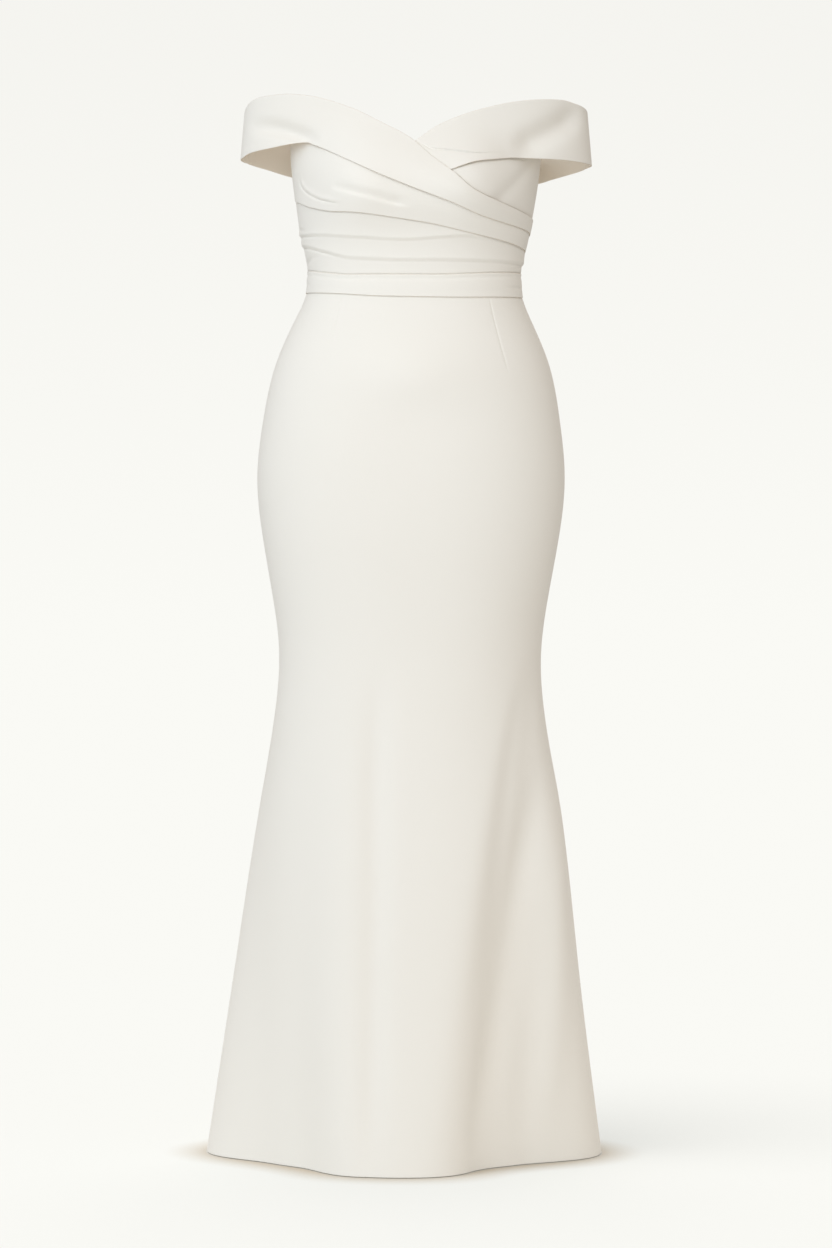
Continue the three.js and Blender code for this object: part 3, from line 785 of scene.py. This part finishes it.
def left_band_front():
    """The outer layer of the crossover, from the right side seam up over the left arm."""
    bottom, top = line["left_band_bottom"], line["left_band_top"]
    sleeve_trough = [
        (-85, 77), (-80, 75), (-75, 72), (-71, 67.5), (-67.5, 62), (-64.5, 57.5), (-61.5, 54), (-58, 52),
    ]
    return cloth_piece(
        "band_left_front", -ARM_SEAM, SIDE_SEAM, bottom, top, 80, band_surface(-1, 2 * LAYER),
        bottom_edge=ROLL, top_edge=ROLL, top_free=True,
        reliefs=[
            fold(bottom, 2.4, 14, -48, 46, 30),
            fullness(bottom, top, 1.8, -70, 84, 30),
            crease(sleeve_trough, 8, 10, fade=0.35),
        ],
    )


def right_band_front():
    """The right half of the sleeve band starts under the left one, with one pleat in it."""
    under_crossing = raised(line["left_band_top"], -LAP)
    free_edge, top, pleat = line["right_band_bottom"], line["right_band_top"], line["right_band_fold"]

    def bottom(angle):
        hidden = under_crossing(angle)
        return np.where(angle < CROSSING["free_edge"], hidden, np.maximum(hidden, free_edge(angle)))

    sleeve_fold = [(59, 36), (63, 46), (67, 55), (71, 64.5), (75.5, 76), (80, 88), (84, 98)]
    return cloth_piece(
        "band_right_front", CROSSING["band_start"], ARM_SEAM, bottom, top, 120, band_surface(1, LAYER),
        bottom_edge=ROLL, top_edge=ROLL, top_free=True, covered_low=True, seams=[ARM_SEAM],
        reliefs=[
            fold(pleat, 1.4, 10, 2, 60, 22, turn=1.5),
            groove(pleat, 1.1, 1.1, -6, 52, 16),
            fold(free_edge, 2.4, 10, 22, 62, 16),
            crease(sleeve_fold, 9.5, 15),
            crevice(line["left_band_top"], 1, -10, 30, 4),
        ],
    )


def right_cup():
    """The plain right cup between the two bands."""
    free_edge, armhole = line["right_band_bottom"], line["right_armhole"]

    def top(angle):
        return np.where(angle < CROSSING["right_armhole"], free_edge(angle) + LAP, armhole(angle))

    turn_to_side = [(78, 42), (76, 34), (73, 27), (66, 7), (58, -12), (51, -28), (46, -38)]
    return cloth_piece(
        "cup_right_front", CROSSING["cup_start"], SIDE_SEAM, raised(line["left_band_top"], -LAP), top, 80,
        covered_low=True, covered_high=True, seams=[SIDE_SEAM],
        reliefs=[
            crevice(line["left_band_top"], 1),
            crevice(free_edge, -1, -10, 72, 8, depth=1.4, width=1.0),
            crease(turn_to_side, 2.4, 10),
        ],
    )


def left_drape():
    """The draped left cup, wrapped across the body to the right side seam."""
    bottom, band, armhole = line["drape_bottom"], line["left_band_bottom"], line["left_armhole"]

    def top(angle):
        return np.where(angle < CROSSING["left_armhole"], armhole(angle), band(angle) + LAP)

    tuck = [(-74.5, 14), (-73.6, 2), (-70.5, -8), (-65.6, -15.5), (-59.5, -22.5), (-52.5, -27), (-47, -29)]
    tuck_lip = [(angle + 1.8, height + 2.6) for angle, height in tuck]
    from_apex = [(-54, -6), (-49.7, -9), (-38.2, -16.5), (-27, -22.5), (-16, -28), (-10, -30), (0, -33)]
    return cloth_piece(
        "drape_left_front", -SIDE_SEAM, SIDE_SEAM, bottom, top, 90, layer=LAYER,
        bottom_edge=ROLL, covered_high=True, dense=[(-77, -50)],
        reliefs=[
            fold(bottom, 1.2, 10, -92, 92, 30),
            fullness(bottom, band, 1.2, -60, 92, 30),
            crevice(band, -1, -70, 110, 6),
            crease(tuck, 1.2, 1.6),
            crease(tuck_lip, -1.1, 3.2),
            crease(from_apex, 3.2, 7, other_side=0.5),
        ],
    )


def midriff_front():
    """The pleated panel under the bust."""
    low, high = line["waist_top"], line["drape_bottom"]
    upper, lower = line["upper_fold"], line["lower_fold"]
    branch = [(-92, -98), (-84, -95), (-76, -92), (-63.6, -88)]
    nick = [(-92, -52), (-84, -53), (-78, -54.5), (-70, -56)]
    return cloth_piece(
        "midriff_front", -SIDE_SEAM, SIDE_SEAM, raised(low, -LAP), raised(high, LAP), 110,
        covered_low=True, covered_high=True,
        reliefs=[
            crevice(high, -1),
            fold(lower, 3.2, 11, -110, 110, 16, turn=6),
            groove(lower, 0.8, 1.5, -110, -52, 14),
            groove(lower, 0.8, 1.5, 60, 110, 14),
            fold(upper, 2.9, 9, -110, 60, 26, turn=5),
            groove(upper, 0.7, 1.5, -110, -60, 14),
            crease(branch, 1.8, 3, fade=0.5),
            crease(nick, 1.8, 2.6, fade=0.6),
            crevice(low, 1, depth=0.9, width=0.9),
        ],
    )


def waistband(place):
    bottom, top = line["waist_bottom"], line["waist_top"]
    reliefs = [fullness(bottom, top, 0.8), groove(raised(top, -5), 0.7, 2.6)]
    if place == "front":
        left_gather = [(-94, -122), (-86, -122.5), (-80, -122.8), (-72, -123)]
        right_gather = [(60, -129.5), (70, -129), (80, -128), (92, -127)]
        reliefs += [crease(left_gather, 1.2, 2.4, fade=0.6), crease(right_gather, 1.2, 2.6, fade=0.6)]
    return cloth_piece(
        "waistband_" + place, *SPANS[place], bottom, top, 30, layer=LAYER, bottom_edge=ROLL, top_edge=ROLL,
        reliefs=reliefs,
    )


def skirt(place, reliefs=(), dense=()):
    waist = line["waist_bottom"]
    return cloth_piece(
        "skirt_" + place, *SPANS[place], level(HEM), raised(waist, LAP), 240, bottom_edge=HEM_ROLL,
        bottom_free=True, covered_high=True, dense=dense, reliefs=[*reliefs, crevice(waist, -1)],
    )


def skirt_front():
    """The front of the skirt, with its two waist darts and the soft shapes of its fall."""
    left_dart = [(-50.9, -140), (-50.6, -160), (-49.9, -185), (-49.3, -206)]
    right_dart = [(53.7, -140), (53.1, -170), (53.1, -200), (54.2, -242)]
    middle_fall = [(-21, -560), (-18, -719), (-13.5, -889), (-11.5, -1009), (-10.5, -1128), (-10, -1300)]
    flute_foot = [
        (77, -640), (68, -740), (59, -820), (51, -900), (44, -1000), (35, -1100), (28, -1180), (25, -1330),
    ]
    flute_crown = [(85, -700), (77, -800), (69, -900), (65, -1000), (62, -1100), (60, -1180), (59, -1330)]
    return skirt(
        "front",
        reliefs=[
            crease(left_dart, 0.35, 1.3, fade=0.15, samples=60),
            crease(right_dart, 0.5, 1.3, fade=0.15, samples=60),
            crease(middle_fall, 6, 18, fade=0.25),
            crease(flute_foot, 8.5, 22, fade=0.35),
            crease(flute_crown, -5, 22, fade=0.35),
            belly(9.0, -240, 42),
        ],
        dense=[(-52.2, -48.4), (52, 55.4)],
    )


def bodice_back(hand):
    waist = line["waist_top"]
    return cloth_piece(
        "bodice_back_" + hand, *SPANS["back_" + hand], raised(waist, -LAP), line[hand + "_armhole"], 80,
        top_edge=HEM_ROLL, top_free=True, covered_low=True, reliefs=[crevice(waist, 1)],
    )


def band_back(hand, side):
    """The sleeve band from an arm seam to centre back, to the left (-1) or the right (1) in the photo."""
    bottom, top = line[hand + "_band_bottom"], line[hand + "_band_top"]
    start, end = sorted([side * ARM_SEAM, side * CENTRE_BACK])
    return cloth_piece(
        "band_back_" + hand, start, end, bottom, top, 56, band_surface(side, LAYER), bottom_edge=ROLL,
        top_edge=ROLL, top_free=True, bottom_free=True,
        reliefs=[fullness(bottom, top, 1.5, start + 10, end - 10)],
    )


zip_top = line["right_armhole"](CENTRE_BACK)


def zip_tape():
    """The zip's tape inside the centre back seam."""

    def surface(side, height, offset=0.0):
        angle = CENTRE_BACK + side * np.degrees(ZIP["half_width"] / profile["back"](height))
        return body_surface(angle, height, offset)

    return cloth_piece(
        "zip_tape", -1, 1, level(ZIP["bottom"]), level(zip_top), 150, surface, step=0.1,
        layer=-SEAM_GAP - ZIP["thickness"], wall=ZIP["thickness"], gap=0, seams=[], inner_stride=1,
        finishes_and_painted_shades=["zip_tape"],
    )


def tube(route, radius):
    """Points and faces of a thin closed tube along a route of points."""
    tangent = np.gradient(route, axis=0)
    tangent /= np.linalg.norm(tangent, axis=1)[:, None]
    side = np.cross(tangent, SLANT)
    side /= np.linalg.norm(side, axis=1)[:, None]
    other = np.cross(tangent, side)
    turn = np.arange(TUBE_SIDES) * 2 * math.pi / TUBE_SIDES
    ring = np.cos(turn)[:, None] * side[:, None] + np.sin(turn)[:, None] * other[:, None]
    return (route[:, None] + radius * ring).reshape(-1, 3), tube_faces(len(route))


def tube_faces(count):
    corner = np.arange(count * TUBE_SIDES).reshape(count, TUBE_SIDES)
    after = np.roll(corner, -1, axis=1)
    walls = np.stack([corner[:-1], after[:-1], after[1:], corner[1:]], axis=-1).reshape(-1, 4)
    return [*walls.tolist(), corner[0, ::-1].tolist(), corner[-1].tolist()]


def joined_tubes(name, routes, radius, material):
    """Several thin tubes as one mesh."""
    corners, faces = [], []
    for route in routes:
        points, own = tube(route, radius)
        faces += [tuple(i + len(corners) for i in face) for face in own]
        corners += points.tolist()
    mesh = smooth_mesh(name, corners, faces)
    mesh.materials.append(materials[material])
    return linked(name, mesh)


def inside_back(height, offset):
    """The centre line of the zip's inner side: its Y, where offset counts inwards from the tape."""
    inner = -SEAM_GAP - ZIP["thickness"] - offset
    return body_surface(np.full_like(height, CENTRE_BACK), height, inner)[..., 1]


def zip_coil():
    """The zip's two nylon coils, meshed, on the tape's inner side."""
    bottom = ZIP["bottom"] + COIL["free_bottom"]
    turns = int((zip_top - COIL["free_top"] - bottom) / COIL["pitch"])
    t = np.arange(turns * COIL["turn_points"]) / COIL["turn_points"]
    routes = []
    for side in (-1, 1):
        height = bottom + (t + side * COIL["phase"]) * COIL["pitch"]
        x = side * COIL["shift"] + COIL["half_width"] * np.cos(2 * math.pi * t)
        depth = COIL["depth"] * (1 + np.sin(2 * math.pi * t)) + COIL["wire"] + COIL["clear"]
        routes.append(np.stack([x, inside_back(height, depth), height], axis=-1))
    return joined_tubes("zip_coil", routes, COIL["wire"], "nylon")


def zip_stitches():
    """Two rows of stitches that hold the tape to the seam allowance, on its inner side."""
    bottom, top = ZIP["bottom"] + STITCH["free"], zip_top - STITCH["free"]
    share, depth = np.array(STITCH_PATH).T
    routes = []
    for side in (-1, 1):
        x = np.full_like(share, side * (ZIP["half_width"] - STITCH["inset"]))
        for start in np.arange(bottom, top, STITCH["length"] + STITCH["gap"]):
            height = start + STITCH["length"] * share
            routes.append(np.stack([x, inside_back(height, depth), height], axis=-1))
    return joined_tubes("zip_stitches", routes, STITCH["radius"], "thread")


def rounded(name, node):
    """A finer form of a cast part: the same shape with rounded edges."""
    shape = bmesh.new()
    shape.from_mesh(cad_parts[node].data)
    bmesh.ops.remove_doubles(shape, verts=shape.verts, dist=CAST["weld"])
    bmesh.ops.dissolve_limit(shape, angle_limit=CAST["flat"], verts=shape.verts, edges=shape.edges)
    sharp = [
        edge for edge in shape.edges
        if len(edge.link_faces) == 2 and edge.calc_face_angle() > CAST["sharp"]
    ]
    bmesh.ops.bevel(
        shape, geom=sharp, offset=CAST["rounding"], segments=3, profile=0.5, affect="EDGES",
        clamp_overlap=True,
    )
    bmesh.ops.triangulate(shape, faces=[face for face in shape.faces if len(face.verts) > 4])
    mesh = bpy.data.meshes.new(name)
    shape.to_mesh(mesh)
    shape.free()
    mesh.shade_smooth()
    mesh.set_sharp_from_angle(angle=CAST["hard"])
    mesh.materials.append(materials["zip_metal"])
    return linked(name, mesh)




def dress(piece, node=None, body="dress"):
    """Puts a piece on its body and hides the imported part that it stands for."""
    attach(piece, body)
    if node:
        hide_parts(node)




def seen_directly(tree):
    """Whole for what the camera sees, and nothing for the light that a surface sends elsewhere."""
    return add_node(tree, "LightPath")["Is Camera Ray"]


def backdrop():
    """A plain pale world: the camera sees the backdrop, and the gown gets a warm ambient light from it."""
    world = bpy.data.worlds.new("studio")
    world.use_nodes = True
    tree = world.node_tree
    direction = add_node(tree, "SeparateXYZ", {"Vector": add_node(tree, "TexCoord")["Generated"]})["Z"]
    rise = add_node(tree, "MapRange", {"Value": direction, "From Max": BACKDROP["rise"]})["Result"]
    seen = tree.nodes["Background"]
    feed(tree, seen, {"Color": blended(tree, rise, BACKDROP["level"], BACKDROP["high"])})
    ambient = {"Color": (*AMBIENT["colour"], 1), "Strength": AMBIENT["strength"]}
    given = add_node(tree, "Background", ambient)
    either = add_node(tree, "MixShader", {
        "Fac": seen_directly(tree), 1: given["Background"], 2: seen.outputs["Background"],
    })
    feed(tree, tree.nodes["World Output"], {"Surface": either["Shader"]})
    bpy.context.scene.world = world


def unshaded_floor():
    """Colour of the bare floor under its own lights and the ambient one, where nothing shades it."""
    lit = sum(
        strength * math.sin(math.radians(elevation)) / math.pi
        for _, elevation, strength, _ in FLOOR_LIGHTS.values()
    )
    return np.array(FLOOR["paper"]) * (lit + AMBIENT["strength"] * np.array(AMBIENT["colour"]))


def painted_contact_shade(tree):
    """Painted shadow: a warm shade painted into the floor's colour close under the hem, as the camera sees
    it, darker where the gown hides more of the open air nearby.
    """
    nearby = add_node(tree, "AmbientOcclusion", {"Distance": CONTACT_PAINTED_SHADE["reach"]})["AO"]
    openness = add_node(tree, "MapRange", {"Value": nearby, "From Min": CONTACT_PAINTED_SHADE["open"]})["Result"]
    unseen = add_node(tree, "Math", {0: 1, 1: seen_directly(tree)}, operation="SUBTRACT")["Value"]
    whole = add_node(tree, "Math", {0: openness, 1: unseen}, operation="MAXIMUM")["Value"]
    return blended(tree, whole, CONTACT_PAINTED_SHADE["colour"], (1, 1, 1))


def multiplied(tree, first, second):
    inputs = {"Factor": 1, "A": first, "B": second}
    return add_node(tree, "Mix", inputs, data_type="RGBA", blend_type="MULTIPLY")["Result"]


def floor_paper():
    """A surface as bright as the backdrop. Near the gown a share of its brightness is paper, which takes
    the gown's shadow, and the rest is a glow that makes up the difference. A painted shade darkens both
    close under the hem."""
    material = bpy.data.materials.new("floor_paper")
    material.use_nodes = True
    tree = material.node_tree
    tree.nodes.clear()
    place = add_node(tree, "TexCoord")["Object"]
    away = add_node(tree, "VectorMath", {0: place}, operation="LENGTH")["Value"]
    reach = {"Value": away, "From Min": FLOOR["fade"][0], "From Max": FLOOR["fade"][1]}
    fade = add_node(tree, "MapRange", reach, interpolation_type="SMOOTHSTEP")["Result"]
    share = FLOOR["shaded_share"]
    near_paper = [paper * share for paper in FLOOR["paper"]]
    near_glow = [whole - lit * share for whole, lit in zip(BACKDROP["level"], unshaded_floor())]
    painted_contact = painted_contact_shade(tree)
    bare_paper = blended(tree, fade, near_paper, (0, 0, 0))
    bare_glow = blended(tree, fade, near_glow, BACKDROP["level"])
    strength = add_node(tree, "MapRange", {"Value": seen_directly(tree), "To Min": BOUNCE})["Result"]
    paper = add_node(tree, "BsdfDiffuse", {"Color": multiplied(tree, bare_paper, painted_contact)})
    glow = add_node(tree, "Emission", {"Color": multiplied(tree, bare_glow, painted_contact), "Strength": strength})
    both = add_node(tree, "AddShader", {0: paper["BSDF"], 1: glow["Emission"]})
    add_node(tree, "OutputMaterial", {"Surface": both["Shader"]})
    return material


def floor():
    """A pale disc just below the hem."""
    disc = bmesh.new()
    bmesh.ops.create_circle(disc, cap_ends=True, segments=96, radius=FLOOR["radius"])
    mesh = bpy.data.meshes.new("floor")
    disc.to_mesh(mesh)
    disc.free()
    mesh.materials.append(floor_paper())
    piece = linked("floor", mesh)
    piece.location.z = (HEM - FLOOR["clearance"]) * MM
    return piece


def softbox(name, azimuth, elevation, strength, angle, colour=(1, 1, 1)):
    """A large soft source far away, as a sun lamp with a wide angle."""
    lamp = bpy.data.lights.new(name, "SUN")
    lamp.energy = strength
    lamp.angle = math.radians(angle)
    lamp.color = colour
    piece = linked(name, lamp)
    piece.rotation_euler = (math.radians(90 - elevation), 0, math.radians(azimuth))
    return piece


def round_lamp(name, place, size, power):
    """A round lamp near the gown, level with what it lights, which falls off up and down the gown."""
    lamp = bpy.data.lights.new(name, "AREA")
    lamp.shape = "DISK"
    lamp.size = size
    lamp.energy = power
    piece = linked(name, lamp)
    piece.location = place
    piece.rotation_euler = (math.pi / 2, 0, math.atan2(place[0], -place[1]))
    return piece


def share_light(lamp, piece, lit):
    """Lets a lamp light one piece alone, or all but that piece."""
    receivers = bpy.data.collections.new(lamp.name + "_receivers")
    receivers.objects.link(piece)
    receivers.collection_objects[0].light_linking.link_state = "INCLUDE" if lit else "EXCLUDE"
    lamp.light_linking.receiver_collection = receivers


def camera():
    lens = bpy.data.cameras.new("camera")
    lens.lens = CAMERA["lens"]
    lens.sensor_width = CAMERA["sensor"]
    lens.clip_end = CAMERA["clip_end"]
    piece = linked("camera", lens)
    piece.location = (0, -CAMERA["distance"], CAMERA["height"])
    piece.rotation_euler = (math.pi / 2, 0, 0)
    bpy.context.scene.camera = piece


bpy.context.scene.view_settings.view_transform = "Standard"
camera()
backdrop()
studio_floor = floor()
gown_lights = [round_lamp(name, *row) for name, row in LAMPS.items()]
gown_lights += [softbox(name, *row) for name, row in LIGHTS.items()]
for gown_light in gown_lights:
    share_light(gown_light, studio_floor, lit=False)
for name, row in FLOOR_LIGHTS.items():
    share_light(softbox(name, *row), studio_floor, lit=True)

crepe_pieces = [
    left_band_front(), right_band_front(), right_cup(), left_drape(), midriff_front(),
    *(waistband(place) for place in SPANS),
    skirt_front(), skirt("back_left"), skirt("back_right"),
    bodice_back("left"), bodice_back("right"), band_back("left", -1), band_back("right", 1),
]
for piece in crepe_pieces:
    dress(piece, piece.name.removesuffix("_cloth"))
dress(zip_tape(), "zip_tape")
dress(zip_coil())
dress(zip_stitches())
dress(rounded("zip_slider_cast", "zip_slider"), "zip_slider")
dress(rounded("zip_pull_cast", "zip_pull"), "zip_pull", body="zip_pull")
